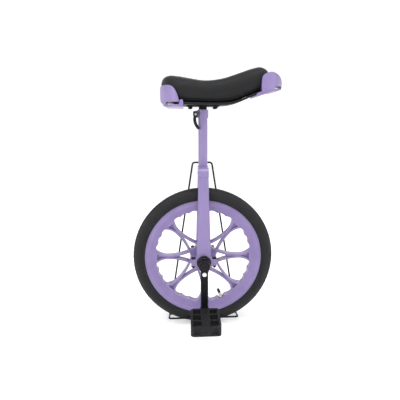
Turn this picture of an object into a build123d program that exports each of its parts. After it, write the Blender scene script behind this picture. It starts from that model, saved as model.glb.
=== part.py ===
from build123d import *
import os
from math import cos, hypot, radians, sin, sqrt

# A child's 16-inch unicycle with its wire parking stand, in millimetres.
# +X is forward, +Y is the rider's left and +Z is up.
# The origin is on the floor, straight below the hub.

# ---------------------------------------------------------------- driving sizes
RUNNING = 0.05            # radial clearance of anything that turns or slides in a bore
SEAT_GAP = 0.3            # between curved faces that only lie near each other

WHEEL_R = 200.0           # outside of the tyre
TYRE_R = 22.0             # radius of the tyre's round section
TYRE_WALL = 3.5
TUBE_WALL = 1.5
TUBE_SLACK = 4.5          # the tube is this much smaller than the tyre's inside
RIM_R = WHEEL_R - TYRE_R - 12.0    # edge of the rim flange
RIM_HALF = 16.0           # half the rim's width, over the flanges
FLANGE = 3.0              # thickness of a rim flange
FLANGE_BAND = 13.0        # flat side of the rim, measured inwards from its edge
RIM_INNER_R = RIM_R - 33.0         # where the windows end
RIM_INNER_HALF = 10.0
CHANNEL = 10.0            # depth of the bead seat below the flange
WELL = 5.0                # depth of the well below the bead seat
WELL_HALF = 8.0

SPOKES = 8                # places where two spoke strands run side by side
STRAND = 5.4              # width of a strand
STRAND_HALF = 9.0         # half its depth along the axle
STRAND_PAIR = 2.9         # from a strand's middle to the line between the pair
STRAND_NECK = RIM_INNER_R - 31.0   # radius where the pair runs closest
STRAND_FOOT = 19.0        # half the spread of a pair where it meets the rim
LOBES = 3                 # shallow scallops on the outer edge of each window
LOBE_R = 21.0
LOBE_DEPTH = 4.5
LOBE_STEP = 11.0          # degrees
WEB_HALF = 3.0            # half the thickness of the sunk web between a pair's feet

HUB_R = 20.0              # barrel of the wheel moulding
HUB_FLANGE_R = 35.0
HUB_HALF = 36.0
AXLE_R = 11.0             # axle inside the hub
JOURNAL_R = 8.5           # axle inside the bearings
SQUARE = 13.0             # square ends of the axle

BEARING_R = 20.0
BEARING_WIDTH = 12.0
BEARING_Y = 48.0          # middle of a bearing
RACE = 3.6                # thickness of a bearing ring
BALLS = 9
SEAT_WALL = 5.0           # bearing housing around the bearing
SEAT_WIDTH = 16.0
CAP_BOLT_R = 3.0
CAP_BOLT_X = BEARING_R + SEAT_WALL + 4.5
EAR_REACH = CAP_BOLT_X + 5.5       # half the length of a housing over its ears
EAR_THICK = 9.0

LEG_TOP = (28.0, 14.0)    # fork leg's section at the crown, along X and Y
LEG_FOOT = (40.0, 14.0)   # and at the bearing housing
LEG_TOP_Y = TYRE_R + 11.0          # its middle at the crown
LEG_WALL = 1.8
CROWN_Z = 2 * WHEEL_R + 36.0       # underside of the crown
CROWN_TALL = 24.0
CROWN_HALF = LEG_TOP_Y + LEG_TOP[1] / 2 + 1.0
CROWN_DEPTH = 29.0
POST_R = 11.1
POST_WALL = 2.0
POST_CLEAR = 0.08
TUBE_R = POST_R + 1.6
TUBE_LONG = 156.0         # above the crown
TUBE_TOP = CROWN_Z + CROWN_TALL + TUBE_LONG
POST_BOTTOM = CROWN_Z + CROWN_TALL + 6.0

COLLAR_TALL = 22.0
COLLAR_WALL = 2.4
SLIT = 3.0
SLIT_LONG = 36.0
LUG_THICK = 6.0
LUG_TALL = 16.0
SKEWER_R = 2.5
SKEWER_X = TUBE_R + 7.3            # behind the post's axis
LUG_REACH = SKEWER_X + 7.0         # from the post's axis to the lugs' ends
SKEWER_NUT_R = 6.0
SKEWER_NUT = 7.0
CAM_R = 6.5
CAM_WIDE = 10.0
EYE_WIDE = 5.0
EYE_R = 5.0
LEVER_PIN_R = 2.0
LEVER_WIDE = 8.0
LEVER_THICK = 5.0
LEVER_DROP = 38.0

CRANK = 125.0             # axle to pedal spindle
CRANK_INNER_Y = BEARING_Y + BEARING_WIDTH / 2 + 8.0
CRANK_BOSS_R = 14.5
CRANK_BOSS_LONG = 28.0
CRANK_ARM = 20.0          # width of the arm
CRANK_THICK = 13.0
CRANK_ARM_Y = CRANK_INNER_Y + 13.0 # inner face of the arm
CRANK_EYE_R = 12.5
CRANK_SCREW_R = 4.0
DUST_CAP_R = 10.5
MARKER_R = 5.8
MARKER_DROP = 21.0        # white dot on the arm, below the axle

PEDAL_X = 76.0
PEDAL_LONG = 92.0
PEDAL_TALL = 25.0
PEDAL_GAP = 7.0           # from the crank to the pedal body
PEDAL_RIM = 6.0
PEDAL_BARREL_R = 11.0
PEDAL_RIBS = 2
PEDAL_RIB = 5.0
SPINDLE_R = 6.0
BUSH_WALL = 2.0
BUSH_LONG = 14.0

SADDLE_Z = TUBE_TOP + 11.0         # flat underside of the saddle base
BASE_THICK = 6.0
PLATE_THICK = 3.0
PLATE_X = 90.0
PLATE_Y = 52.0
PLATE_BOLT = (34.0, 17.0)
PLATE_HEAD_R = 6.5
M6 = 3.0                  # radius of the small bolts
M6_HEX = 10.0
M6_NUT = 5.0
M6_HEAD = 4.0
BUMPER_WALL = 4.0
GRIP_TALL = 6.5

WIRE_R = 2.5              # stand wire
ARCH_Y = BEARING_Y + 5.0
ARCH_TOP = CROWN_Z + 30.0
ARCH_HALF = 28.0
STAND_HALF = WHEEL_R / 2
STAND_BACK = 84.0
KINK_BEFORE = 10.0        # from the arch to where the base wire starts to rise
CRADLE_Z = TYRE_R - 1.0   # height of the front wire that holds the tyre
BEND = 8.0
WELD_GAP = 0.4            # between the two ends of the base wire

HUB = (0.0, 0.0, WHEEL_R)
SIDES = (("right", -1), ("left", 1))
os.makedirs("parts", exist_ok=True)


def save(node, *solids):
    """Write one node: one solid, or several separate ones of one kind."""
    shape = solids[0] if len(solids) == 1 else Compound(children=list(solids))
    export_step(shape, f"parts/{node}.step")


def rod_y(radius, y0, y1, x=0.0, z=WHEEL_R):
    """Round bar along Y."""
    ends = sorted((y0, y1))
    place = Plane(origin=(x, ends[0], z), x_dir=(1, 0, 0), z_dir=(0, 1, 0))
    return place * Cylinder(radius, ends[1] - ends[0], align=(Align.CENTER, Align.CENTER, Align.MIN))


def rod_x(radius, x0, x1, y, z):
    """Round bar along X."""
    place = Plane(origin=(x0, y, z), x_dir=(0, 1, 0), z_dir=(1, 0, 0))
    return place * Cylinder(radius, x1 - x0, align=(Align.CENTER, Align.CENTER, Align.MIN))


def rod_z(radius, z0, z1, x=0.0, y=0.0):
    """Round bar along Z."""
    return Pos(x, y, z0) * Cylinder(radius, z1 - z0, align=(Align.CENTER, Align.CENTER, Align.MIN))


def block(x0, x1, y0, y1, z0, z1):
    """Box between two corners."""
    middle = Pos((x0 + x1) / 2, (y0 + y1) / 2, (z0 + z1) / 2)
    return middle * Box(abs(x1 - x0), abs(y1 - y0), abs(z1 - z0))


def hexagon(across, z0, z1, x, y):
    """Nut or bolt head with its axis along Z."""
    flat = RegularPolygon(across / 2, 6, major_radius=False)
    return Pos(x, y, z0) * extrude(flat, amount=z1 - z0)


def side_on(flat, half):
    """A drawing of X against Z, made solid the same way to both sides of Y = 0."""
    return extrude(Plane.XZ * flat, amount=half, both=True)


def lathe(flat):
    """Turn a drawing of radius against Y round the wheel's axis."""
    ring = revolve(Plane.XY * flat, axis=Axis.Y)
    return Pos(*HUB) * ring


def mirrored(shape, side):
    """Parts are drawn on the right, at -Y; the left ones are their mirror image."""
    return shape if side < 0 else mirror(shape, about=Plane.XZ)


def turned(shape, side):
    """Parts that turn with the cranks: the left ones stand opposite, half a turn on."""
    if side < 0:
        return shape
    return mirror(Pos(0, 0, 2 * WHEEL_R) * mirror(shape, about=Plane.XY), about=Plane.XZ)


# ---------------------------------------------------------------- wheel moulding
def rim_profile():
    """Rim section: flanges, bead seats, well, and side walls that lean in."""
    seat_r = RIM_R - CHANNEL
    inner = RIM_HALF - FLANGE
    half = [
        (RIM_R, inner), (RIM_R, RIM_HALF), (RIM_R - FLANGE_BAND, RIM_HALF),
        (RIM_INNER_R + 4, RIM_INNER_HALF), (RIM_INNER_R - 1, RIM_INNER_HALF),
    ]
    bed = [(seat_r - WELL, WELL_HALF), (seat_r, inner)]
    lower = [(r, -y) for r, y in reversed(half)]
    return Polygon(*half, *lower, *[(r, -y) for r, y in reversed(bed)], *bed, align=None)


def strand_line(side):
    """One strand of a pair along +X: it nears its twin at the neck, then swings away to the hub."""
    hub_at = (HUB_FLANGE_R - 2) * cos(radians(360 / SPOKES)), (HUB_FLANGE_R - 2) * sin(radians(360 / SPOKES))
    neck = (STRAND_NECK, side * STRAND_PAIR)
    foot = (RIM_INNER_R + 6, side * STRAND_FOOT)
    inwards = TangentArc(neck, (hub_at[0], side * hub_at[1]), tangent=(-1, 0))
    outwards = TangentArc(neck, foot, tangent=(1, 0))
    return inwards, outwards


def wheel_moulding():
    rim = lathe(rim_profile())
    strands = Sketch()
    webs = Sketch()
    for number in range(SPOKES):
        turn = Rot(0, 0, 360 / SPOKES * number)
        for side in (-1, 1):
            for line in strand_line(side):
                strands += turn * trace(line, STRAND)
        foot = RIM_INNER_R + 6
        web = Polygon((STRAND_NECK, 0), (foot, STRAND_FOOT), (foot, -STRAND_FOOT), align=None)
        webs += turn * web
    band = Circle(RIM_INNER_R + 8) - Circle(RIM_INNER_R)
    for number in range(SPOKES):
        for lobe in range(LOBES):
            angle = 360 / SPOKES * (number + 0.5) + LOBE_STEP * (lobe - (LOBES - 1) / 2)
            reach = RIM_INNER_R + LOBE_DEPTH - LOBE_R
            lobe_cut = Pos(reach * cos(radians(angle)), reach * sin(radians(angle))) * Circle(LOBE_R)
            band -= lobe_cut
            rim -= Pos(*HUB) * side_on(lobe_cut, RIM_HALF)
    body = side_on(strands + band + Circle(HUB_FLANGE_R), STRAND_HALF)
    body += side_on(webs, WEB_HALF)
    body = Pos(*HUB) * body
    body += rim
    body += rod_y(HUB_R, -HUB_HALF, HUB_HALF)
    body -= rod_y(AXLE_R, -HUB_HALF, HUB_HALF)
    return body


VALVE_TURN = -67.5        # degrees from +X; in the middle of a window
VALVE_R = 4.0
VALVE_IN = RIM_INNER_R - 21.0      # radius of the cap's tip
NUT_SPOT_R = 8.0          # flat seat for the valve's nut


def along_valve(shape):
    """Place a part drawn up the Z axis from the hub on the valve's line."""
    return Pos(*HUB) * Rot(0, 90 - VALVE_TURN, 0) * shape


def wheel():
    seat_r = RIM_R - CHANNEL
    moulding = wheel_moulding()
    hole = along_valve(rod_z(VALVE_R + RUNNING, VALVE_IN, WHEEL_R - TYRE_R))
    nut_top = RIM_INNER_R + LOBE_DEPTH
    spot = along_valve(rod_z(NUT_SPOT_R, VALVE_IN, nut_top))
    save("wheel_moulding", moulding - hole - spot)

    middle = WHEEL_R - TYRE_R
    over_rim = RIM_R + SEAT_GAP
    bead_out = RIM_HALF - FLANGE - SEAT_GAP / 3
    bead_in = bead_out - TYRE_WALL
    carcass = Pos(middle, 0) * (Circle(TYRE_R) - Circle(TYRE_R - TYRE_WALL))
    carcass -= Pos(over_rim - WHEEL_R / 2, 0) * Rectangle(WHEEL_R, WHEEL_R)
    shoulder = sqrt(TYRE_R**2 - (middle - over_rim) ** 2)
    for side in (-1, 1):
        ledge = Rectangle(TYRE_WALL, shoulder - bead_in)
        carcass += Pos(over_rim + TYRE_WALL / 2, side * (shoulder + bead_in) / 2) * ledge
        foot = over_rim + TYRE_WALL - seat_r - SEAT_GAP
        bead = Rectangle(foot, TYRE_WALL)
        carcass += Pos(over_rim + TYRE_WALL - foot / 2, side * (bead_out + bead_in) / 2) * bead
    save("tyre", lathe(carcass))

    under_tread = WHEEL_R - TYRE_WALL - SEAT_GAP
    depth = under_tread - over_rim - TYRE_WALL
    between_beads = bead_in - SEAT_GAP
    tube_r = min(TYRE_R - TYRE_WALL - TUBE_SLACK, (depth**2 + between_beads**2) / (2 * depth))
    tube_mid = under_tread - tube_r
    inner_tube = lathe(Pos(tube_mid, 0) * (Circle(tube_r) - Circle(tube_r - TUBE_WALL)))
    save("inner_tube", inner_tube)

    tube_low = tube_mid - tube_r - 2 * RUNNING
    cap_end = VALVE_IN + 12
    stem = rod_z(VALVE_R, cap_end + 3, tube_low) + rod_z(VALVE_R - 1.2, cap_end - 4, cap_end + 3)
    save("valve_stem", along_valve(stem))
    cap = rod_z(VALVE_R - 0.1, VALVE_IN, cap_end) - rod_z(VALVE_R - 1.2, cap_end - 4, cap_end)
    save("valve_cap", along_valve(fillet(cap.faces().sort_by(Axis.Z)[0].edges(), 1)))
    ring = hexagon(13, nut_top - 4, nut_top, 0, 0) - rod_z(VALVE_R, nut_top - 5, nut_top + 1)
    save("valve_nut", along_valve(ring))


# ---------------------------------------------------------------- axle, bearings, cranks
SEAT_IN = BEARING_Y - SEAT_WIDTH / 2
SEAT_OUT = BEARING_Y + SEAT_WIDTH / 2
BEARING_IN = BEARING_Y - BEARING_WIDTH / 2
BEARING_OUT = BEARING_Y + BEARING_WIDTH / 2
CRANK_OUT = CRANK_INNER_Y + CRANK_BOSS_LONG
ARM_OUT = CRANK_ARM_Y + CRANK_THICK
SQUARE_END = CRANK_OUT - 8
PEDAL_Z = WHEEL_R - CRANK
PEDAL_IN = ARM_OUT + PEDAL_GAP
PEDAL_OUT = PEDAL_IN + PEDAL_LONG
BARREL_BORE = SPINDLE_R + RUNNING + BUSH_WALL


def axle():
    body = rod_y(AXLE_R, -BEARING_IN, BEARING_IN)
    body += rod_y(JOURNAL_R, -BEARING_OUT - 2, BEARING_OUT + 2)
    tails = rod_y(JOURNAL_R, -SQUARE_END, SQUARE_END)
    half = SQUARE / 2
    body += tails & block(-half, half, -SQUARE_END, SQUARE_END, WHEEL_R - half, WHEEL_R + half)
    for side in (-1, 1):
        body -= rod_y(CRANK_SCREW_R, side * (CRANK_INNER_Y - 2), side * SQUARE_END)
    return body


def bearing(side):
    """Ball bearing on the right or left: outer ring with its seals, inner ring, balls."""
    y0, y1 = -BEARING_IN, -BEARING_OUT
    track = (BEARING_R + JOURNAL_R) / 2
    ball_r = (BEARING_R - JOURNAL_R - RACE) / 2 - RUNNING
    torus = Pos(0, -BEARING_Y, WHEEL_R) * Rot(90, 0, 0) * Torus(track, ball_r + RUNNING)
    outer = rod_y(BEARING_R, y0, y1) - rod_y(track + RACE / 2, y0, y1)
    seal = rod_y(track + RACE / 2, y1, y1 + 1) - rod_y(track - RACE / 2 + RUNNING, y1, y1 + 1)
    inner = rod_y(track - RACE / 2, y0, y1) - rod_y(JOURNAL_R, y0, y1)
    balls = []
    for number in range(BALLS):
        angle = radians(360 / BALLS * number)
        balls.append(Pos(track * cos(angle), -BEARING_Y, WHEEL_R + track * sin(angle)) * Sphere(ball_r))
    name = "right" if side < 0 else "left"
    save(f"bearing_outer_{name}", mirrored(outer + seal - torus, side))
    save(f"bearing_inner_{name}", mirrored(inner - torus, side))
    save(f"bearing_balls_{name}", *[mirrored(ball, side) for ball in balls])


def crank():
    """Right crank, hanging straight down."""
    arm = Pos(0, WHEEL_R - CRANK / 2) * Rectangle(CRANK_ARM, CRANK)
    arm += Pos(0, PEDAL_Z) * Circle(CRANK_EYE_R)
    arm = extrude(Plane.XZ * arm, amount=CRANK_THICK)
    arm = fillet(arm.edges().filter_by(GeomType.LINE).filter_by(Axis.Z), 3)
    body = Pos(0, -CRANK_ARM_Y, 0) * arm
    boss = rod_y(CRANK_BOSS_R, -CRANK_INNER_Y, -CRANK_OUT)
    body += chamfer(boss.edges().sort_by(Axis.Y)[0], 1.2)
    half = SQUARE / 2 + RUNNING
    body -= block(-half, half, -CRANK_INNER_Y, -SQUARE_END, WHEEL_R - half, WHEEL_R + half)
    body -= rod_y(DUST_CAP_R, -SQUARE_END, -CRANK_OUT)
    body -= rod_y(SPINDLE_R, -CRANK_ARM_Y, -ARM_OUT, z=PEDAL_Z)
    return body


def crank_screw():
    head = rod_y(8.5, -SQUARE_END, -SQUARE_END - 4)
    return head + rod_y(CRANK_SCREW_R - RUNNING, -SQUARE_END, -CRANK_INNER_Y)


def dust_cap():
    cap = rod_y(DUST_CAP_R - RUNNING, -SQUARE_END - 4, -CRANK_OUT)
    cap = fillet(cap.edges().sort_by(Axis.Y)[0], 0.8)
    return cap - rod_y(3.5, -CRANK_OUT + 1.5, -CRANK_OUT)


def spindle():
    body = rod_y(SPINDLE_R - RUNNING, -CRANK_ARM_Y - 1, -ARM_OUT, z=PEDAL_Z)
    body += rod_y(SPINDLE_R, -ARM_OUT, -PEDAL_OUT + 14, z=PEDAL_Z)
    collar = rod_y(9, -ARM_OUT, -PEDAL_IN + 1, z=PEDAL_Z)
    flats = block(-7.5, 7.5, -ARM_OUT, -PEDAL_IN + 1, PEDAL_Z - 10, PEDAL_Z + 10)
    body += collar & flats
    return body + rod_y(SPINDLE_R - 2, -PEDAL_OUT + 14, -PEDAL_OUT + 6, z=PEDAL_Z)


def spindle_nut():
    flat = RegularPolygon(6.0, 6, major_radius=False)
    place = Plane(origin=(0, -PEDAL_OUT + 14, PEDAL_Z), x_dir=(1, 0, 0), z_dir=(0, -1, 0))
    return place * extrude(flat, amount=5) - rod_y(SPINDLE_R - 2, -PEDAL_OUT + 15, -PEDAL_OUT + 5, z=PEDAL_Z)


def drive():
    save("axle", axle())
    for name, side in SIDES:
        bearing(side)
        save(f"crank_{name}", turned(crank(), side))
        save(f"pedal_spindle_{name}", turned(spindle(), side))
    save("crank_screws", *[turned(crank_screw(), side) for _, side in SIDES])
    save("crank_dust_caps", *[turned(dust_cap(), side) for _, side in SIDES])
    save("spindle_nuts", *[turned(spindle_nut(), side) for _, side in SIDES])
    dot = rod_y(MARKER_R, -ARM_OUT, -ARM_OUT - 0.4, z=WHEEL_R - MARKER_DROP)
    save("crank_markers", *[turned(dot, side) for _, side in SIDES])


# ---------------------------------------------------------------- pedals
def pedal_body():
    """Moulded pedal block: frame, ribs across, and a barrel for the spindle."""
    half_x, half_z = PEDAL_X / 2, PEDAL_TALL / 2
    body = block(-half_x, half_x, -PEDAL_OUT, -PEDAL_IN, PEDAL_Z - half_z, PEDAL_Z + half_z)
    body = fillet(body.edges().filter_by(Axis.Z), 9)
    bay_x0 = PEDAL_BARREL_R
    bay_x1 = half_x - PEDAL_RIM
    bay_long = (PEDAL_LONG - 2 * PEDAL_RIM - PEDAL_RIBS * PEDAL_RIB) / (PEDAL_RIBS + 1)
    for number in range(PEDAL_RIBS + 1):
        start = PEDAL_IN + PEDAL_RIM + number * (bay_long + PEDAL_RIB)
        for side in (-1, 1):
            bay = block(side * bay_x0, side * bay_x1, -start, -start - bay_long,
                        PEDAL_Z - PEDAL_TALL, PEDAL_Z + PEDAL_TALL)
            body -= fillet(bay.edges().filter_by(Axis.Z), 2.5)
    for side in (-1, 1):
        body -= block(side * 15, side * (half_x - 8), -PEDAL_OUT, -PEDAL_OUT + 2.5, PEDAL_Z - 7, PEDAL_Z + 7)
    body -= rod_y(SPINDLE_R + 1.5, -PEDAL_IN, -PEDAL_OUT, z=PEDAL_Z)
    body -= rod_y(BARREL_BORE, -PEDAL_IN, -PEDAL_IN - BUSH_LONG, z=PEDAL_Z)
    body -= rod_y(BARREL_BORE, -PEDAL_OUT, -PEDAL_OUT + 14 + BUSH_LONG, z=PEDAL_Z)
    return body


def pedal_bushes():
    bushes = []
    for start in (PEDAL_IN, PEDAL_OUT - 14 - BUSH_LONG):
        ring = rod_y(BARREL_BORE, -start, -start - BUSH_LONG, z=PEDAL_Z)
        bushes.append(ring - rod_y(SPINDLE_R + RUNNING, -start, -start - BUSH_LONG, z=PEDAL_Z))
    return bushes


def pedals():
    for name, side in SIDES:
        save(f"pedal_body_{name}", turned(pedal_body(), side))
        save(f"pedal_bushes_{name}", *[turned(bush, side) for bush in pedal_bushes()])
        cap = rod_y(BARREL_BORE, -PEDAL_OUT, -PEDAL_OUT + 4, z=PEDAL_Z)
        save(f"pedal_end_cap_{name}", turned(cap, side))


# ---------------------------------------------------------------- fork and frame
HOUSING_R = BEARING_R + SEAT_WALL


def fork_leg():
    """Flattened tube from the crown down and out to the bearing housing."""
    foot_z = WHEEL_R + sqrt(HOUSING_R**2 - (LEG_FOOT[0] / 2) ** 2) - 3
    levels = ((foot_z, LEG_FOOT, BEARING_Y), (CROWN_Z, LEG_TOP, LEG_TOP_Y))
    skins = []
    for inset in (0, LEG_WALL):
        rings = []
        for z, (wide, thick), y in levels:
            outline = SlotOverall(wide - 2 * inset, thick - 2 * inset)
            rings.append(Plane(origin=(0, -y, z)) * outline)
        skins.append(loft(rings))
    leg = skins[0] - skins[1]
    return leg - rod_y(HOUSING_R, -SEAT_IN + 20, -SEAT_OUT - 20)


def housing(upper):
    """Half of the bearing clamp: a half ring with a bolting ear at each end."""
    ring = Circle(HOUSING_R)
    ears = Pos(0, EAR_THICK / 2) * Rectangle(2 * EAR_REACH, EAR_THICK)
    half = Pos(0, HOUSING_R) * Rectangle(4 * EAR_REACH, 2 * HOUSING_R)
    flat = ((ring + ears) & half) - Circle(BEARING_R)
    if not upper:
        flat = Rot(0, 0, 180) * flat
    body = extrude(Plane.XZ * flat, amount=SEAT_WIDTH)
    body = Pos(0, -SEAT_IN, WHEEL_R) * body
    for side in (-1, 1):
        hole = rod_z(CAP_BOLT_R, WHEEL_R - HOUSING_R, WHEEL_R + HOUSING_R, side * CAP_BOLT_X, -BEARING_Y)
        body -= hole
    return body


def crown():
    """Forged bridge between the legs, with round shoulders and an arch below."""
    tall = Pos(0, CROWN_Z + CROWN_TALL / 2) * Rectangle(2 * CROWN_HALF, CROWN_TALL)
    flat = fillet(tall.vertices().group_by(Axis.Y)[-1], 15)
    inner = LEG_TOP_Y - LEG_TOP[1] / 2 - 2
    flat -= Pos(0, CROWN_Z) * Ellipse(inner, 11)
    body = extrude(Plane.YZ * flat, amount=CROWN_DEPTH / 2, both=True)
    return body


def upper_tube():
    base = CROWN_Z + CROWN_TALL
    tube = rod_z(TUBE_R, base, TUBE_TOP) - rod_z(POST_R + POST_CLEAR, base + 2, TUBE_TOP)
    return tube - block(-TUBE_R - 1, 0, -SLIT / 2, SLIT / 2, TUBE_TOP - SLIT_LONG, TUBE_TOP)


SKEWER_Z = TUBE_TOP - COLLAR_TALL / 2
LUG_OUT = SLIT / 2 + LUG_THICK
LEVER_Y = -(LUG_OUT + SEAT_GAP + CAM_R)


def seat_clamp():
    bottom = TUBE_TOP - COLLAR_TALL
    body = rod_z(TUBE_R + COLLAR_WALL, bottom, TUBE_TOP)
    lugs = block(-LUG_REACH, 0, -LUG_OUT, LUG_OUT, SKEWER_Z - LUG_TALL / 2, SKEWER_Z + LUG_TALL / 2)
    body += fillet(lugs.edges().filter_by(Axis.Y).sort_by(Axis.X)[:2], 5)
    body -= rod_z(TUBE_R, bottom, TUBE_TOP)
    body -= block(-LUG_REACH - 1, 0, -SLIT / 2, SLIT / 2, bottom - 1, TUBE_TOP + 1)
    return body - rod_y(SKEWER_R + RUNNING, -LUG_OUT, LUG_OUT, -SKEWER_X, SKEWER_Z)


def clamp_skewer():
    """Rod through the lugs, with a cross eye for the lever's pin."""
    rod = rod_y(SKEWER_R, LEVER_Y, LUG_OUT + SKEWER_NUT, -SKEWER_X, SKEWER_Z)
    eye = rod_x(EYE_R, -SKEWER_X - EYE_WIDE / 2, -SKEWER_X + EYE_WIDE / 2, LEVER_Y, SKEWER_Z)
    half = CAM_WIDE / 2
    return rod + eye - rod_x(LEVER_PIN_R + RUNNING, -SKEWER_X - half, -SKEWER_X + half, LEVER_Y, SKEWER_Z)


def clamp_lever():
    """Cam with two cheeks, and a curved blade that hangs beside the post."""
    half = CAM_WIDE / 2
    x = -SKEWER_X
    blade = Spline((x, SKEWER_Z - 2), (x - 2.5, SKEWER_Z - 0.42 * LEVER_DROP), (x + 7, SKEWER_Z - LEVER_DROP))
    flat = trace(blade, LEVER_WIDE) + Pos(x + 7, SKEWER_Z - LEVER_DROP) * Circle(LEVER_WIDE / 2)
    flat += Pos(x, SKEWER_Z - CAM_R - SEAT_GAP) * Rectangle(CAM_WIDE, CAM_R)
    body = Pos(0, LEVER_Y, 0) * extrude(Plane.XZ * flat, amount=LEVER_THICK / 2, both=True)
    body += rod_x(CAM_R, x - half, x + half, LEVER_Y, SKEWER_Z)
    gap = EYE_WIDE / 2 + SEAT_GAP
    body -= rod_x(CAM_R + SEAT_GAP, x - gap, x + gap, LEVER_Y, SKEWER_Z)
    return body - rod_x(LEVER_PIN_R, x - half, x + half, LEVER_Y, SKEWER_Z)


def frame():
    for name, side in SIDES:
        save(f"fork_leg_{name}", mirrored(fork_leg(), side))
        save(f"bearing_seat_{name}", mirrored(housing(True), side))
        save(f"bearing_cap_{name}", mirrored(housing(False), side))
    save("fork_crown", crown())
    save("frame_tube", upper_tube())
    top = WHEEL_R + EAR_THICK
    bottom = WHEEL_R - EAR_THICK
    bolts, nuts = [], []
    for _, side in SIDES:
        for x in (-CAP_BOLT_X, CAP_BOLT_X):
            y = side * BEARING_Y
            shank = rod_z(CAP_BOLT_R - RUNNING, bottom - M6_NUT - 3, top, x, y)
            bolts.append(shank + hexagon(M6_HEX, top, top + M6_HEAD, x, y))
            hole = rod_z(CAP_BOLT_R - RUNNING, bottom - M6_NUT - 1, bottom, x, y)
            nuts.append(hexagon(M6_HEX, bottom - M6_NUT, bottom, x, y) - hole)
    save("cap_bolts", *bolts)
    save("cap_nuts", *nuts)
    save("seat_clamp", seat_clamp())
    save("clamp_skewer", clamp_skewer())
    nut = rod_y(SKEWER_NUT_R, LUG_OUT, LUG_OUT + SKEWER_NUT, -SKEWER_X, SKEWER_Z)
    save("clamp_nut", nut - rod_y(SKEWER_R, LUG_OUT, LUG_OUT + SKEWER_NUT, -SKEWER_X, SKEWER_Z))
    save("clamp_lever", clamp_lever())
    half = CAM_WIDE / 2
    save("lever_pin", rod_x(LEVER_PIN_R, -SKEWER_X - half, -SKEWER_X + half, LEVER_Y, SKEWER_Z))


# ---------------------------------------------------------------- saddle
SADDLE_OUTLINE = ((-112, 0), (-98, 44), (-64, 65), (-18, 52), (35, 38), (85, 39), (132, 46),
                  (164, 41), (180, 23), (185, 0))
NOSE_OUTLINE = ((112, 0), (126, 42), (145, 51), (172, 48), (199, 34), (217, 0))
FACETS = 22               # flats along each side of the saddle
# side-on lines: X, and the height above the saddle's flat underside
UNDER_REAR = ((-122, 28), (-84, 7.5), (-52, 0))
UNDER_FRONT = ((48, 0), (80, 3.5), (124, 20), (190, 44))
PAD_TOP = ((-114, 60), (-88, 81), (-40, 74.5), (5, 67.5), (52, 72.5), (100, 87.5), (148, 103.5), (187, 68))
REAR_FACE = ((-117, 49), (-86, 50), (-70, 33), (-62, 13), (-52, 13), (-52, -6), (-100, -6), (-117, 11))
NOSE_FACE = ((152, 71), (163, 80), (178, 85.5), (194, 83.5), (209, 76), (216.5, 66), (216, 54), (209, 42),
             (196, 36.5), (178, 34), (138, 21), (138, 29), (152, 35))
REAR_SLOT = (-99, -62, 0)          # from X, to X, and the height of its lower side
NOSE_SLOT = (188, 209, 42.5)
CLEAR_ABOVE = 133                  # over the saddle's highest point
CLEAR_BELOW = 60
HALF_SPAN = 100                    # wider than the saddle


def upright(outline, grow):
    """A half outline and its mirror image, as a fine polygon grown by one distance, made solid along Z."""
    curve = Spline(*outline, tangents=((0, 1), (0, -1)))
    half = [curve @ (step / FACETS) for step in range(FACETS + 1)]
    points = [(p.X, p.Y) for p in half] + [(p.X, -p.Y) for p in half[-2:0:-1]]
    flat = make_face(Polyline(*points, close=True))
    if grow:
        flat = offset(flat, grow, kind=Kind.INTERSECTION)
    tall = CLEAR_BELOW + CLEAR_ABOVE + 20
    return Pos(0, 0, SADDLE_Z - CLEAR_BELOW) * extrude(flat, amount=tall, dir=(0, 0, 1))


def saddle_plan(grow=0.0):
    return upright(SADDLE_OUTLINE, grow)


def raised(points, lift=0.0):
    """Side-on points, from heights above the saddle's flat underside to heights above the floor."""
    return [(x, SADDLE_Z + z + lift) for x, z in points]


def above_under(lift, top):
    """Everything between the base's underside, lifted if wished, and a height above it."""
    rear = Spline(*raised(UNDER_REAR, lift), tangents=((1, -0.75), (1, 0)))
    front = Spline(*raised(UNDER_FRONT, lift), tangents=((1, 0), (1, 0.3)))
    flat = Line(rear @ 1, front @ 0)
    rest = Polyline(front @ 1, *raised(((200, top), (-130, top))), rear @ 0)
    return side_on(make_face(rear + flat + front + rest), HALF_SPAN)


def grip_slot(start, end, low):
    return block(start, end, -HALF_SPAN, HALF_SPAN, SADDLE_Z + low, SADDLE_Z + low + GRIP_TALL)


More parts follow.
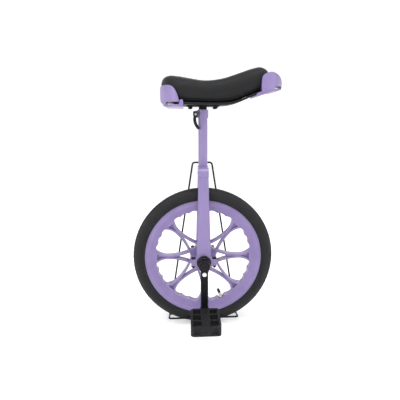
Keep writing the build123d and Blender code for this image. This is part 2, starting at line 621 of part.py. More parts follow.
def saddle():
    plan = saddle_plan()
    whole = above_under(0, CLEAR_ABOVE)
    rise = above_under(BASE_THICK, CLEAR_ABOVE)
    base = plan & (whole - rise)
    pad_line = Spline(*raised(PAD_TOP))
    below = raised(((PAD_TOP[-1][0], -27), (PAD_TOP[0][0], -27)))
    roof = side_on(make_face(pad_line + Polyline(pad_line @ 1, *below, pad_line @ 0)), HALF_SPAN)
    pad = plan & rise & roof
    cavity = saddle_plan(SEAT_GAP) & above_under(-RUNNING, CLEAR_ABOVE + 10)
    outer = saddle_plan(BUMPER_WALL)
    rear = (outer & side_on(Polygon(*raised(REAR_FACE), align=None), HALF_SPAN)) - cavity
    rear -= grip_slot(*REAR_SLOT)
    nose = (upright(NOSE_OUTLINE, 0) & side_on(Polygon(*raised(NOSE_FACE), align=None), HALF_SPAN)) - cavity
    nose -= grip_slot(*NOSE_SLOT)
    plate_z = SADDLE_Z - PLATE_THICK
    plate = Pos(0, 0, plate_z) * extrude(RectangleRounded(PLATE_X, PLATE_Y, 8), amount=PLATE_THICK)
    bolts, nuts = [], []
    sunk = SADDLE_Z + BASE_THICK / 2
    for x in (-PLATE_BOLT[0], PLATE_BOLT[0]):
        for y in (-PLATE_BOLT[1], PLATE_BOLT[1]):
            shank = rod_z(M6 - RUNNING, plate_z - M6_NUT - 1, sunk, x, y)
            bolts.append(shank + rod_z(PLATE_HEAD_R, sunk, SADDLE_Z + BASE_THICK, x, y))
            hole = rod_z(M6 - RUNNING, plate_z - M6_NUT, plate_z, x, y)
            nuts.append(hexagon(M6_HEX, plate_z - M6_NUT, plate_z, x, y) - hole)
            base -= rod_z(M6, SADDLE_Z - 1, sunk + 1, x, y)
            base -= rod_z(PLATE_HEAD_R, sunk, SADDLE_Z + BASE_THICK + 4, x, y)
            plate -= rod_z(M6, plate_z, SADDLE_Z, x, y)
    save("saddle_base", base)
    save("saddle_pad", pad)
    save("rear_bumper", rear)
    save("front_bumper", nose)
    save("saddle_plate", plate)
    save("plate_bolts", *bolts)
    save("plate_nuts", *nuts)
    post = rod_z(POST_R, POST_BOTTOM, plate_z) - rod_z(POST_R - POST_WALL, POST_BOTTOM, plate_z)
    save("seat_post", post)


# ---------------------------------------------------------------- parking stand
def wire(points):
    """Round wire bent along a route."""
    route = FilletPolyline(*points, radius=BEND)
    section = Plane(origin=route @ 0, z_dir=route % 0) * Circle(WIRE_R)
    return sweep(section, path=route)


def stand():
    """Arch behind the wheel, and a base loop whose front rises to hold the tyre's near side."""
    cradle_y = TYRE_R + SEAT_GAP + WIRE_R
    foot = WIRE_R
    lowest = 2 * WIRE_R + SEAT_GAP
    arch = wire([
        (-STAND_HALF, ARCH_Y, lowest), (-ARCH_HALF, ARCH_Y, ARCH_TOP),
        (ARCH_HALF, ARCH_Y, ARCH_TOP), (STAND_HALF, ARCH_Y, lowest),
    ])
    save("stand_arch", arch)
    half = STAND_HALF
    kink = ARCH_Y - KINK_BEFORE
    loop = wire([
        (-WELD_GAP / 2, STAND_BACK, foot), (-half, STAND_BACK, foot), (-half, kink, foot),
        (-half, -cradle_y, CRADLE_Z), (half, -cradle_y, CRADLE_Z),
        (half, kink, foot), (half, STAND_BACK, foot), (WELD_GAP / 2, STAND_BACK, foot),
    ])
    save("stand_base", loop)
    bar_z = foot + (CRADLE_Z - foot) * (kink - cradle_y) / (kink + cradle_y)
    save("stand_cradle", rod_x(WIRE_R, -half + WIRE_R, half - WIRE_R, cradle_y, bar_z))


wheel()
drive()
pedals()
frame()
saddle()
stand()
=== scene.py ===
import bmesh
import bpy
import numpy as np
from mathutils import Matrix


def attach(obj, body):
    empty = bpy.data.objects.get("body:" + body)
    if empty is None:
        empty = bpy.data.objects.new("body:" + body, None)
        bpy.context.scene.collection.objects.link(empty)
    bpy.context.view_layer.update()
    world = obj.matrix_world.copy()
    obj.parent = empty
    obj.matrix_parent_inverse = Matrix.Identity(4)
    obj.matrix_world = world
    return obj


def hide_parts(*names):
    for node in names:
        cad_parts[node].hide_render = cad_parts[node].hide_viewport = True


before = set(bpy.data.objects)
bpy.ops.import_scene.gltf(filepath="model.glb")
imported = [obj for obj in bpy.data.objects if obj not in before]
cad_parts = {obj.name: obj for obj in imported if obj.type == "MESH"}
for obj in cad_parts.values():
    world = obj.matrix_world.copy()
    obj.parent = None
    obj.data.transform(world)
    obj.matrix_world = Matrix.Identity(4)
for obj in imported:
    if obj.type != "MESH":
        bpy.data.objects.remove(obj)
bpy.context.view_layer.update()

# ---------------------------------------------------------------- studio: floor, lamps and camera
# The unicycle stands in its wire stand on a plain white sweep that curves up all round and glows faintly.
# Large soft lamps hang over it, as for a catalogue picture.


def add_mesh(name, grids, closed=True):
    """One mesh out of several grids of points, each rows x columns x 3.
    Neighbouring points are joined into four-sided faces. In a closed grid every row is a ring, and the
    first and last rows are filled, so it bounds a solid. Merging its doubles turns a shrunken row into a pole."""
    points, faces, start = [], [], 0
    for grid in grids:
        rows, columns = grid.shape[:2]
        index = start + np.arange(rows * columns).reshape(rows, columns)
        if closed:
            index = np.concatenate([index, index[:, :1]], axis=1)
        quads = np.stack([index[:-1, :-1], index[1:, :-1], index[1:, 1:], index[:-1, 1:]], axis=-1)
        faces += quads.reshape(-1, 4).tolist()
        if closed:
            faces += [index[0, :-1].tolist(), index[-1, :-1][::-1].tolist()]
        points.append(grid.reshape(-1, 3))
        start += rows * columns
    mesh = bpy.data.meshes.new(name)
    mesh.from_pydata(np.concatenate(points).tolist(), [], faces)
    if closed:
        work = bmesh.new()
        work.from_mesh(mesh)
        bmesh.ops.remove_doubles(work, verts=work.verts, dist=2e-6)
        bmesh.ops.recalc_face_normals(work, faces=work.faces)
        work.to_mesh(mesh)
        work.free()
    mesh.shade_smooth()
    piece = bpy.data.objects.new(name, mesh)
    bpy.context.collection.objects.link(piece)
    return piece


SWEEP_FLAT = 3.0
SWEEP_CURVE = 6.0

turn = np.linspace(0, 2 * np.pi, 97)[:, None]
rise = np.linspace(0, np.pi / 2, 24)[None, :]
reach = np.concatenate([np.zeros((1, 1)), SWEEP_FLAT + SWEEP_CURVE * np.sin(rise)], axis=1)
level = np.concatenate([np.zeros((1, 1)), SWEEP_CURVE * (1 - np.cos(rise))], axis=1) - 0.0004
sweep = add_mesh("sweep", [np.stack([reach * np.cos(turn), reach * np.sin(turn), level + 0 * turn], axis=-1)], False)
sweep_white = bpy.data.materials.new("sweep_white")
sweep_white.use_nodes = True
for socket, value in (("Base Color", (0.93, 0.93, 0.93, 1)), ("Roughness", 0.9),
                      ("Emission Color", (1.0, 1.0, 1.0, 1)), ("Emission Strength", 0.36)):
    sweep_white.node_tree.nodes["Principled BSDF"].inputs[socket].default_value = value
sweep.data.materials.append(sweep_white)

world = bpy.data.worlds.new("studio_air")
bpy.context.scene.world = world
world.use_nodes = True
world.node_tree.nodes["Background"].inputs["Color"].default_value = (1.0, 1.0, 1.0, 1)
world.node_tree.nodes["Background"].inputs["Strength"].default_value = 0.5
bpy.context.scene.view_settings.view_transform = "Standard"


def add_lamp(name, place, aim, size, power):
    """A soft rectangular lamp of the given size and watts, turned towards the place that it lights."""
    lamp = bpy.data.lights.new(name, "AREA")
    lamp.shape = "RECTANGLE"
    lamp.size, lamp.size_y = size
    lamp.energy = power
    holder = bpy.data.objects.new(name, lamp)
    holder.location = place
    away = holder.location.copy()
    away.x, away.y, away.z = place[0] - aim[0], place[1] - aim[1], place[2] - aim[2]
    holder.rotation_euler = away.to_track_quat("Z", "Y").to_euler()
    bpy.context.collection.objects.link(holder)


add_lamp("lamp_overhead", (0.1, -0.5, 1.9), (0, 0, 0.45), (1.4, 0.9), 19)
add_lamp("lamp_left", (-1.5, -1.2, 1.1), (0, 0, 0.35), (0.5, 1.3), 8)
add_lamp("lamp_right", (1.6, -0.9, 0.9), (0, 0, 0.3), (0.5, 1.3), 4)
add_lamp("lamp_behind", (0.2, 1.6, 1.3), (0, 0, 0.4), (1.6, 0.8), 7)

camera = bpy.data.cameras.new("camera")
camera.sensor_width = 36
camera.lens = 32.39
camera.shift_x = -0.023
camera.shift_y = -0.056
holder = bpy.data.objects.new("camera", camera)
holder.location = (-0.0392, -1.0, 0.5765)
holder.rotation_euler = (np.radians(90 - 8.41), 0, np.radians(-3.25))
bpy.context.collection.objects.link(holder)
bpy.context.scene.camera = holder

# ---------------------------------------------------------------- fork, frame tube and seat clamp
# Two flat-oval steel legs are welded to a pressed crown, with a round tube above it for the seat post.
# The whole is stove-enamelled in gloss lavender. Split housings at the feet hold the wheel's sealed bearings.


class Field:
    """Something that varies over a surface, held as the output socket of a node.
    Arithmetic on fields adds Math nodes, and node() adds any other node."""

    def __init__(self, tree, socket=None):
        self.tree = tree
        self.socket = socket

    def node(self, kind, settings=None, sockets=None, output=0):
        made = self.tree.nodes.new("ShaderNode" + kind)
        for name, value in (settings or {}).items():
            setattr(made, name, value)
        for name, value in (sockets or {}).items():
            if isinstance(value, Field):
                self.tree.links.new(value.socket, made.inputs[name])
            else:
                made.inputs[name].default_value = value
        return Field(self.tree, made.outputs[output])

    def _math(self, operation, first, second):
        return self.node("Math", {"operation": operation}, {0: first, 1: second})

    def __add__(self, other):
        return self._math("ADD", self, other)

    __radd__ = __add__

    def __sub__(self, other):
        return self._math("SUBTRACT", self, other)

    def __rsub__(self, other):
        return self._math("SUBTRACT", other, self)

    def __mul__(self, other):
        return self._math("MULTIPLY", self, other)

    __rmul__ = __mul__

    def between(self, low, high):
        """0 below low, 1 above high, and a smooth step from one to the other."""
        return self.node("MapRange", {"interpolation_type": "SMOOTHSTEP"},
                         {"Value": self, "From Min": low, "From Max": high})

    def mix(self, dark, light):
        """The colour dark where this is 0, and light where it is 1."""
        return self.node("Mix", {"data_type": "RGBA"}, {0: self, 6: dark, 7: light}, 2)

    def noise(self, scale, detail=3.0, rough=0.5):
        """Cloudy noise over the place that this field holds, with a grain of 1 / scale metres."""
        return self.node("TexNoise", {}, {"Vector": self, "Scale": scale, "Detail": detail, "Roughness": rough})


def new_finish(name, roughness, metallic=0.0, coat=0.0, coat_roughness=0.1, sheen=0.0, specular=0.5):
    """A material, its shader, and a field that holds the place on the piece."""
    made = bpy.data.materials.new(name)
    made.use_nodes = True
    shader = made.node_tree.nodes["Principled BSDF"]
    for socket, value in (("Roughness", roughness), ("Metallic", metallic), ("Coat Weight", coat),
                          ("Coat Roughness", coat_roughness), ("Sheen Weight", sheen), ("Specular IOR Level", specular)):
        shader.inputs[socket].default_value = value
    place = Field(made.node_tree).node("TexCoord", output="Object")
    return made, shader, place


def feed(shader, place, colour=None, roughness=None, height=None, depth=0.001, edge=0.0):
    """Wires colour and roughness into the shader, and a height of the given depth into its bump.
    An edge radius rounds the sharp edges of the metal or moulding in the shading."""
    links = place.tree.links
    if colour is not None:
        links.new(colour.socket, shader.inputs["Base Color"])
    if roughness is not None:
        links.new(roughness.socket, shader.inputs["Roughness"])
    normal = place.node("Bevel", {"samples": 4}, {"Radius": edge}) if edge else None
    if height is not None:
        sockets = {"Strength": 1.0, "Distance": depth, "Height": height}
        if normal:
            sockets["Normal"] = normal
        normal = place.node("Bump", {}, sockets)
    if normal:
        links.new(normal.socket, shader.inputs["Normal"])


def edge_wear(place, radius, breakup):
    """1 on outer edges rubbed bare and 0 on the flats, broken up by a noise of the given grain."""
    rounded = place.node("Bevel", {"samples": 4}, {"Radius": radius})
    true = place.node("NewGeometry", output="Normal")
    turned = place.node("VectorMath", {"operation": "DOT_PRODUCT"}, {0: rounded, 1: true}, "Value")
    return (1 - turned).between(0.02, 0.12) * place.noise(breakup, 2.0).between(0.42, 0.62)


def dress(material, *nodes):
    """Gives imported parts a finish, in every material slot that they have."""
    for node in nodes:
        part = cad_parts[node]
        if not part.data.materials:
            part.data.materials.append(material)
        for slot in part.material_slots:
            slot.material = material


LAVENDER = (0.205, 0.150, 0.345, 1)
LAVENDER_LIGHT = (0.235, 0.178, 0.380, 1)
ENAMEL_CHIP = (0.42, 0.35, 0.58, 1)

enamel, shader, place = new_finish("lavender_enamel", 0.32, coat=0.55, coat_roughness=0.08)
cloud = place.noise(7.0, 3.0)
tone = cloud.between(0.3, 0.7).mix(LAVENDER, LAVENDER_LIGHT)
worn = edge_wear(place, 0.0011, 260.0)
peel = place.noise(420.0, 2.0)
feed(shader, place, worn.mix(tone, ENAMEL_CHIP), 0.27 + 0.14 * cloud + 0.2 * worn, peel, 0.00016, 0.0007)
dress(enamel, "frame_tube", "fork_crown", "fork_leg_right", "fork_leg_left", "bearing_seat_right", "bearing_seat_left",
      "bearing_cap_right", "bearing_cap_left", "seat_clamp")

WELD = 0.0011
TUBE_R = 0.0127
CROWN_TOP = 0.460
CROWN_UNDER = 0.436
LEG_HALF = (0.014, 0.007)
LEG_Y = 0.0328


def weld(x, y, z, out_x, out_y, ripples):
    """A rippled bead round a tube: a small circle carried along the closed line x, y at height z.
    Its radius rises and falls in waves, as the puddles of a weld do."""
    along = np.linspace(0, 2 * np.pi, len(x), endpoint=False)[:, None]
    round_it = np.linspace(0, 2 * np.pi, 12, endpoint=False)[None, :]
    radius = WELD * (1 + 0.16 * np.sin(ripples * along))
    away, up = radius * np.cos(round_it), 0.8 * radius * np.sin(round_it)
    ring = np.stack([x[:, None] + out_x[:, None] * away, y[:, None] + out_y[:, None] * away, z + up], axis=-1)
    return np.concatenate([ring, ring[:1]])


around = np.linspace(0, 2 * np.pi, 240, endpoint=False)
c, s = np.cos(around), np.sin(around)
beads = [weld(TUBE_R * c, TUBE_R * s, CROWN_TOP, c, s, 34)]
flat_x, flat_y = np.sign(c) * np.abs(c) ** 0.8, np.sign(s) * np.abs(s) ** 0.8
for side in (-1, 1):
    beads.append(weld(LEG_HALF[0] * flat_x, side * LEG_Y + LEG_HALF[1] * flat_y, CROWN_UNDER - 0.0004, c, s, 38))
weld_beads = add_mesh("weld_beads", beads)
weld_beads.data.materials.append(enamel)
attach(weld_beads, "frame")

BLACK = (0.005, 0.005, 0.007, 1)
BLACK_WORN = (0.035, 0.035, 0.04, 1)

black_coat, shader, place = new_finish("black_powder_coat", 0.42, specular=0.14)
worn = edge_wear(place, 0.0012, 300.0)
cloud = place.noise(30.0, 4.0)
pebble = place.noise(900.0, 3.0)
feed(shader, place, worn.mix(BLACK, BLACK_WORN), 0.33 + 0.2 * cloud, pebble, 0.00022, 0.0006)
dress(black_coat, "cap_bolts", "cap_nuts", "clamp_nut", "crank_right", "crank_left", "seat_post", "saddle_plate",
      "plate_bolts", "plate_nuts", "stand_arch", "stand_base", "stand_cradle")


def bare_metal(name, dark, light, roughness, grain):
    """Plated or ground steel: mottled brightness, fine drawn scratches and a rougher film in patches."""
    made, shader, place = new_finish(name, roughness, metallic=1.0)
    stretched = place.node("Mapping", {}, {"Vector": place, "Scale": (1.0, 6.0, 1.0)})
    scratches = stretched.noise(grain, 2.0)
    film = place.noise(90.0, 4.0)
    feed(shader, place, film.between(0.3, 0.7).mix(dark, light), roughness - 0.08 + 0.2 * film,
         scratches, 0.00008, 0.0004)
    return made


ground = bare_metal("ground_steel", (0.42, 0.42, 0.43, 1), (0.66, 0.66, 0.67, 1), 0.28, 1500.0)
zinc = bare_metal("zinc_plate", (0.36, 0.37, 0.38, 1), (0.62, 0.62, 0.60, 1), 0.38, 1100.0)
nickel = bare_metal("nickel_plate", (0.62, 0.60, 0.56, 1), (0.82, 0.80, 0.77, 1), 0.18, 900.0)
dress(zinc, "clamp_skewer", "lever_pin", "crank_screws", "pedal_spindle_right", "pedal_spindle_left", "spindle_nuts")
dress(ground, "bearing_inner_right", "bearing_inner_left",
      "bearing_balls_right", "bearing_balls_left", "axle")
dress(nickel, "valve_stem", "valve_nut")

seal, shader, place = new_finish("bearing_seal", 0.5, specular=0.3)
cloud = place.noise(120.0, 4.0)
feed(shader, place, cloud.between(0.3, 0.7).mix((0.014, 0.014, 0.015, 1), (0.035, 0.034, 0.033, 1)), 0.42 + 0.2 * cloud,
     cloud, 0.0001, 0.0005)
dress(seal, "bearing_outer_right", "bearing_outer_left")

# ---------------------------------------------------------------- wheel moulding, tyre and valve
# Rim, spokes and hub are one lavender nylon moulding, with a faint spark-eroded grain from the mould.
# The tyre is black rubber with a cut tread, blown up on an inner tube whose valve comes through the rim.

HUB_Z = 0.2
SPOKE_DUST = (0.19, 0.14, 0.32, 1)

moulding, shader, place = new_finish("lavender_moulding", 0.38, coat=0.25, coat_roughness=0.2)
centred = place.node("Mapping", {}, {"Vector": place, "Location": (0.0, 0.0, -HUB_Z)})
from_hub = centred.node("VectorMath", {"operation": "LENGTH"}, {0: centred}, "Value")
cloud = place.noise(22.0, 4.0)
tone = cloud.between(0.3, 0.7).mix(LAVENDER, LAVENDER_LIGHT)
soiled = (1 - from_hub.between(0.03, 0.06)) * cloud.between(0.35, 0.65) * 0.8
rubbed = edge_wear(place, 0.0014, 180.0) * 0.7
tinted = soiled.mix(tone, SPOKE_DUST)
grain = place.noise(1300.0, 2.0)
feed(shader, place, rubbed.mix(tinted, ENAMEL_CHIP), 0.3 + 0.2 * cloud, grain, 0.00014, 0.0009)
dress(moulding, "wheel_moulding")

TYRE_MIDDLE = 0.178       # radius of the line through the middle of the tyre's section
TYRE_R = 0.022
TYRE_EDGE = np.radians(121)
TREAD_EDGE = np.radians(52)
BLOCKS = 96
PER_BLOCK = 10
GROOVE = 0.0013
BEAD_LINE = ((0.1662, 0.0152), (0.1655, 0.0127), (0.1590, 0.0125), (0.1570, 0.0115), (0.1572, 0.0085))
WALL_LINE = ((0.1640, 0.0092), (0.1690, 0.0150), (0.1750, 0.0182), (0.1830, 0.0176), (0.1900, 0.0135), (0.1950, 0.0070))


def groove(distance, half, soft):
    """1 in the middle of a groove and 0 beside it, with walls as steep as soft allows."""
    return 1 - np.clip((distance - half) / soft, 0, 1)


tread = np.linspace(-1, 1, 47) * TREAD_EDGE
wall = np.linspace(0, 1, 15)[1:] * (TYRE_EDGE - TREAD_EDGE) + TREAD_EDGE
across = np.concatenate([-wall[::-1], tread, wall])[None, :]
along = np.linspace(0, 2 * np.pi, BLOCKS * PER_BLOCK + 1)[:, None]
side_way = np.abs(across)
ribs = groove(np.abs(side_way - np.radians(15)), np.radians(1.6), np.radians(1.4))
phase = along * BLOCKS / (2 * np.pi)
slanted = np.abs((phase + side_way * 1.9 + 0.25 * (across > 0)) % 1.0 - 0.5)
bars = groove(slanted, 0.12, 0.10) * (side_way > np.radians(17)) * (side_way < np.radians(45))
sipes = groove(np.abs((phase + across * 1.2) % 1.0 - 0.5), 0.04, 0.10) * (side_way < np.radians(12)) * 0.6
shoulder = groove(np.abs(side_way - np.radians(64)), np.radians(1.5), np.radians(2.5)) * 0.5
cut = GROOVE * np.maximum.reduce([ribs + 0 * phase, bars, sipes, shoulder + 0 * phase])
radius = TYRE_R - cut
outer_r = TYRE_MIDDLE + radius * np.cos(across)
outer_y = radius * np.sin(across)
inner = np.array(BEAD_LINE + WALL_LINE)
inner = np.concatenate([inner, [(0.1965, 0.0)], inner[::-1] * (1, -1)])
section_r = np.concatenate([outer_r, np.broadcast_to(inner[:, 0], (len(along), len(inner)))], axis=1)
section_y = np.concatenate([outer_y, np.broadcast_to(inner[:, 1], (len(along), len(inner)))], axis=1)
tyre_grid = np.stack([section_r * np.sin(along), section_y, HUB_Z + section_r * np.cos(along)], axis=-1)
tyre = add_mesh("tyre_cover", [tyre_grid])

rubber, shader, place = new_finish("tyre_rubber", 0.62, specular=0.25)
centred = place.node("Mapping", {}, {"Vector": place, "Location": (0.0, 0.0, -HUB_Z)})
flat = centred.node("VectorMath", {"operation": "MULTIPLY"}, {0: centred, 1: (1.0, 0.0, 1.0)})
reach = flat.node("VectorMath", {"operation": "LENGTH"}, {0: flat}, "Value")
cloud = place.noise(35.0, 4.0)
tread_top = reach.between(0.1885, 0.1905)
dusty = tread_top * (0.25 + 0.75 * cloud.between(0.35, 0.7))
waves = reach * (2 * np.pi / 0.0016)
rings = 0.5 + 0.5 * waves.node("Math", {"operation": "SINE"}, {0: waves})
rings = rings * (1 - reach.between(0.1795, 0.1805)) * reach.between(0.1690, 0.1700)
feed(shader, place, dusty.mix((0.013, 0.013, 0.0145, 1), (0.028, 0.028, 0.029, 1)),
     0.5 + 0.3 * cloud + 0.1 * tread_top, rings + 0.5 * place.noise(700.0, 3.0), 0.00035)
tyre.data.materials.append(rubber)
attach(tyre, "wheel")
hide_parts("tyre")

butyl, shader, place = new_finish("butyl_tube", 0.55)
cloud = place.noise(60.0, 3.0)
feed(shader, place, cloud.mix((0.02, 0.02, 0.02, 1), (0.05, 0.05, 0.05, 1)), 0.45 + 0.2 * cloud, cloud, 0.0002)
dress(butyl, "inner_tube")

# ---------------------------------------------------------------- cranks and pedals
# Forged cranks are black, with a plain white dot below each axle end. The pedals are one-piece black
# polypropylene blocks with open pockets, turning on steel spindles in plastic bushes.

black_plastic, shader, place = new_finish("black_moulded_plastic", 0.5, specular=0.2)
cloud = place.noise(45.0, 4.0)
scuff = edge_wear(place, 0.0016, 160.0)
leather = place.node("TexVoronoi", {"feature": "DISTANCE_TO_EDGE"}, {"Vector": place, "Scale": 900.0})
pitted = leather.between(0.0, 0.25)
feed(shader, place, scuff.mix((0.009, 0.009, 0.0105, 1), (0.045, 0.045, 0.05, 1)), 0.4 + 0.2 * cloud,
     pitted, 0.00012, 0.0009)
dress(black_plastic, "pedal_body_right", "pedal_body_left", "pedal_bushes_right", "pedal_bushes_left",
      "pedal_end_cap_right", "pedal_end_cap_left", "crank_dust_caps", "valve_cap", "clamp_lever", "saddle_base")

dot_white, shader, place = new_finish("white_dot", 0.3, coat=0.3)
cloud = place.noise(300.0, 3.0)
feed(shader, place, cloud.mix((0.72, 0.72, 0.70, 1), (0.86, 0.86, 0.85, 1)), 0.25 + 0.15 * cloud, cloud, 0.0001, 0.0005)
dress(dot_white, "crank_markers")

# ---------------------------------------------------------------- saddle pad
# Moulded foam under tight black vinyl, long and dipped in the middle, high at the front.
# The cover is stretched down over the sides and held at the base's edge under a sewn welt.

PAD_OUTLINE = ((-0.1115, 0.0), (-0.098, 0.0435), (-0.064, 0.0645), (-0.018, 0.0515), (0.035, 0.0375), (0.085, 0.0385),
               (0.132, 0.0455), (0.164, 0.0405), (0.180, 0.0225), (0.1845, 0.0))
PAD_TOP = ((-0.114, 0.6900), (-0.100, 0.7010), (-0.088, 0.7045), (-0.066, 0.7030), (-0.040, 0.6992), (0.005, 0.6935),
           (0.052, 0.6990), (0.100, 0.7140), (0.135, 0.7255), (0.155, 0.7285), (0.172, 0.7200), (0.187, 0.6990))
PAD_UNDER = ((-0.122, 0.6615), (-0.084, 0.6412), (-0.052, 0.6332), (0.0, 0.6332), (0.048, 0.6332), (0.080, 0.6367),
             (0.124, 0.6532), (0.190, 0.6772))


def line_through(points, places, still_ends=False):
    """Heights of a smooth line through the points, at the asked places.
    Each stretch is a cubic that leaves a point with the slope of its neighbours, or level at a still end."""
    knots, heights = np.asarray(points, float).T
    slopes = np.gradient(heights, knots)
    if still_ends:
        slopes[[0, -1]] = 0
    which = np.clip(np.searchsorted(knots, places, side="right") - 1, 0, len(knots) - 2)
    width = knots[which + 1] - knots[which]
    t = np.clip((places - knots[which]) / width, 0, 1)
    start = (1 + 2 * t) * (1 - t) ** 2 * heights[which] + t * (1 - t) ** 2 * width * slopes[which]
    return start + t * t * (3 - 2 * t) * heights[which + 1] - t * t * (1 - t) * width * slopes[which + 1]


def outline_along(outline, count):
    """Places along X and half widths of a plan outline, closer together at its two rounded ends."""
    steps = (1 - np.cos(np.linspace(0, np.pi, count))) / 2 * (len(outline) - 1)
    x = line_through([(i, p[0]) for i, p in enumerate(outline)], steps, True)
    return x, np.maximum(line_through([(i, p[1]) for i, p in enumerate(outline)], steps), 0)


x, half = outline_along(PAD_OUTLINE, 220)
top, under = line_through(PAD_TOP, x), line_through(PAD_UNDER, x)
fullness = np.clip(half / 0.030, 0, 1) ** 0.28
belly = under + 0.42 * (top - under)
top, under = belly + (top - belly) * fullness, belly - (belly - under) * fullness
ring = np.linspace(0, 2 * np.pi, 168, endpoint=False)[None, :]
cosine, sine = np.cos(ring), np.sin(ring)
upper = sine > 0
power_y = np.where(upper, 2 / 2.7, 2 / 4.2)
power_z = np.where(upper, 2 / 2.3, 2 / 4.2)
y = half[:, None] * np.sign(cosine) * np.abs(cosine) ** power_y
reach_z = np.where(upper, (top - belly)[:, None], (belly - under)[:, None])
z = belly[:, None] + reach_z * np.sign(sine) * np.abs(sine) ** power_z
share = (z - under[:, None]) / np.maximum(top - under, 1e-6)[:, None]
pinch = np.exp(-((share - 0.13) / 0.022) ** 2)
slack = 0.0006 * np.sin(x * 210 + 3 * np.sin(x * 60))[:, None] * np.exp(-((share - 0.30) / 0.16) ** 2)
inward = 0.0022 * pinch + slack + 0.0030 * np.clip(0.30 - share, 0, 0.3) / 0.3
y = y - np.sign(y) * np.minimum(inward, np.abs(y))
pad = add_mesh("saddle_cushion", [np.stack([x[:, None] + 0 * ring, y, z], axis=-1)])

vinyl, shader, place = new_finish("black_grained_vinyl", 0.40, specular=0.24, sheen=0.02)
folded = place.node("TexNoise", {}, {"Vector": place, "Scale": 260.0, "Detail": 2.0}, 1)
bent = place.node("VectorMath", {"operation": "MULTIPLY_ADD"}, {0: folded, 1: (0.0016,) * 3, 2: place})
creases = bent.node("TexVoronoi", {"feature": "DISTANCE_TO_EDGE"}, {"Vector": bent, "Scale": 620.0})
hide = creases.between(0.0, 0.16)
cloud = place.noise(14.0, 4.0)
feed(shader, place, hide.mix((0.004, 0.004, 0.005, 1), (0.009, 0.0093, 0.0105, 1)),
     0.36 + 0.16 * cloud + 0.12 * (1 - hide), hide, 0.00022)
pad.data.materials.append(vinyl)
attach(pad, "saddle")
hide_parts("saddle_pad")

# ---------------------------------------------------------------- saddle bumpers
# Each end of the saddle has a lavender plastic cap that takes the knocks when it falls, screwed to the base.
# A slot through each one leaves a lip underneath to hold the saddle by.

REAR_TOP = ((-0.1170, 0.6745), (-0.108, 0.6762), (-0.095, 0.6765), (-0.086, 0.6750), (-0.0780, 0.6700),
            (-0.0715, 0.6610), (-0.0665, 0.6495), (-0.0625, 0.6360))
SHELL = 0.004


def corner_cut(ring, times):
    """Rounds a closed ring of points by cutting its corners: each pass keeps the quarter points of each side."""
    for _ in range(times):
        following = np.roll(ring, -1, axis=1)
        ring = np.stack([0.75 * ring + 0.25 * following, 0.25 * ring + 0.75 * following], axis=2)
        ring = ring.reshape(ring.shape[0], -1, 3)
    return ring


def side_runs(corners, edge):
    """Adds a point at the given distance from each corner of a ring, so that only the corner is rounded.
    corners is rows x corners x 2, across and up, and the run between two corners is also halved."""
    following = np.roll(corners, -1, axis=1)
    run = following - corners
    length = np.maximum(np.linalg.norm(run, axis=-1, keepdims=True), 1e-9)
    near = np.minimum(edge, 0.35 * length) / length
    stops = [corners + run * near, corners + run * 0.5, corners + run * (1 - near)]
    return np.stack([corners] + stops, axis=2).reshape(corners.shape[0], -1, 2)


def cup(x, out, inside, low, floor, high, edge=0.0022):
    """A U-shaped section carried along X: outer walls up to the rim, down inside to the floor, and back."""
    corners = np.stack([
        np.stack([out, low], -1), np.stack([out, high], -1), np.stack([inside, high], -1), np.stack([inside, floor], -1),
        np.stack([-inside, floor], -1), np.stack([-inside, high], -1),
        np.stack([-out, high], -1), np.stack([-out, low], -1),
    ], axis=1)
    flat = side_runs(corners, edge)
    ring = np.concatenate([np.broadcast_to(x[:, None, None], flat.shape[:2] + (1,)), flat], axis=-1)
    return corner_cut(ring, 2)


def slab(x, out, low, high, edge=0.002):
    """A flat bar's section carried along X, rounded at its four corners."""
    corners = np.stack([np.stack([out, low], -1), np.stack([out, high], -1), np.stack([-out, high], -1),
                        np.stack([-out, low], -1)], axis=1)
    flat = side_runs(corners, edge)
    ring = np.concatenate([np.broadcast_to(x[:, None, None], flat.shape[:2] + (1,)), flat], axis=-1)
    return corner_cut(ring, 2)


def widths_at(outline, places):
    """Half width of a plan outline at places along X."""
    x, half = outline_along(outline, 400)
    return np.interp(places, x, half, left=0.0, right=0.0)


def closing(places, start, end, reach):
    """1 along a piece, falling to 0 at its two ends along a quarter circle of the given reach."""
    near = np.minimum(places - start, end - places)
    return np.sqrt(np.clip(1 - (1 - np.clip(near / reach, 0, 1)) ** 2, 0, 1))


grown = [(px - (SHELL if px < 0 else -SHELL) * (ph < 0.03), ph + SHELL * (ph > 0)) for px, ph in PAD_OUTLINE]
x = np.concatenate([np.linspace(0, 1, 30) ** 2 * 0.0125 - 0.1155, np.linspace(-0.1025, -0.0625, 44)])
out = np.maximum(widths_at(grown, x), 1e-4)
end = closing(x, x[0], x[-1], 0.003)
inside = np.minimum(np.maximum(widths_at(PAD_OUTLINE, x) + 0.0003, 1e-5), out - 1e-5)
rim = line_through(REAR_TOP, x)
low = np.interp(x, (-0.1155, -0.104, -0.099, -0.097, -0.0625), (0.6370, 0.6262, 0.6240, 0.6335, 0.6335))
middle = (rim + low) / 2
rim, low = middle + (rim - middle) * end, middle + (low - middle) * end
floor = np.where(inside > 0.001, low + 0.003, rim - 0.0001)
floor = np.minimum(floor, rim - 0.0001)
cap = cup(x, out, inside, low, floor, rim)
x = np.linspace(-0.1075, -0.0520, 46)
out = np.maximum(widths_at(grown, x) - 0.001, 1e-4)
end = closing(x, x[0], x[-1], 0.003)
high = np.interp(x, (-0.1075, -0.0635, -0.0605, -0.0520), (0.6272, 0.6272, 0.6390, 0.6395))
lip_low = np.interp(x, (-0.1075, -0.098, -0.052), (0.6262, 0.6212, 0.6212))
middle = (high + lip_low) / 2
lip = slab(x, out, middle + (lip_low - middle) * end, middle + (high - middle) * end)
rear = add_mesh("rear_bumper_cap", [cap, lip])

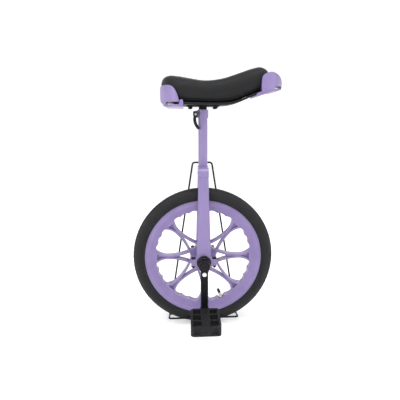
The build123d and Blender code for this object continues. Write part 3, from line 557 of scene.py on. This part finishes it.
NOSE_OUTLINE = ((0.112, 0.0), (0.126, 0.042), (0.145, 0.051), (0.172, 0.048), (0.199, 0.034), (0.2162, 0.0))
NOSE_TOP = ((0.1515, 0.6950), (0.156, 0.7025), (0.163, 0.7075), (0.178, 0.7122), (0.194, 0.7085), (0.209, 0.6985),
            (0.2160, 0.6890))
x = np.concatenate([np.linspace(0.1515, 0.200, 54), 0.200 + (1 - (1 - np.linspace(0, 1, 34)[1:]) ** 2) * 0.0160])
out = np.maximum(widths_at(NOSE_OUTLINE, x), 1e-4)
end = closing(x, x[0], x[-1], 0.003)
inside = np.minimum(np.maximum(widths_at(PAD_OUTLINE, x) + 0.0003, 1e-5), out - 1e-5)
rim = line_through(NOSE_TOP, x)
low = np.interp(x, (0.1515, 0.178, 0.1865, 0.1885, 0.209, 0.2105, 0.2160),
                (0.6560, 0.6655, 0.6695, 0.6762, 0.6762, 0.6705, 0.6810))
middle = (rim + low) / 2
rim, low = middle + (rim - middle) * end, middle + (low - middle) * end
floor = np.where(inside > 0.001, low + 0.003, rim - 0.0001)
nose = cup(x, out, inside, low, np.minimum(floor, rim - 0.0001), rim)
x = np.linspace(0.1380, 0.2120, 60)
out = np.maximum(widths_at(NOSE_OUTLINE, x) - 0.001, 1e-4)
end = closing(x, x[0], x[-1], 0.003)
high = np.interp(x, (0.138, 0.152, 0.188, 0.209, 0.212), (0.6555, 0.6618, 0.6693, 0.6695, 0.6725))
lip_low = np.interp(x, (0.138, 0.178, 0.196, 0.209, 0.212), (0.6482, 0.6612, 0.6637, 0.6680, 0.6700))
middle = (high + lip_low) / 2
lip = slab(x, out, middle + (lip_low - middle) * end, middle + (high - middle) * end)
front = add_mesh("front_bumper_cap", [nose, lip])

bumper, shader, place = new_finish("lavender_bumper", 0.36, coat=0.3, coat_roughness=0.18)
cloud = place.noise(18.0, 4.0)
tone = cloud.between(0.3, 0.7).mix((0.202, 0.146, 0.350, 1), (0.238, 0.177, 0.390, 1))
scratched = place.node("Mapping", {}, {"Vector": place, "Rotation": (0.3, 0.5, 0.2), "Scale": (1.0, 9.0, 9.0)})
scratches = scratched.noise(160.0, 2.0).between(0.66, 0.72) * cloud.between(0.45, 0.6)
grain = place.noise(1200.0, 2.0)
feed(shader, place, (scratches * 0.5).mix(tone, ENAMEL_CHIP), 0.3 + 0.18 * cloud + 0.15 * scratches,
     grain - 0.6 * scratches, 0.00015)
for piece, node in ((rear, "rear_bumper"), (front, "front_bumper")):
    piece.data.materials.append(bumper)
    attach(piece, "saddle")
    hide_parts(node)
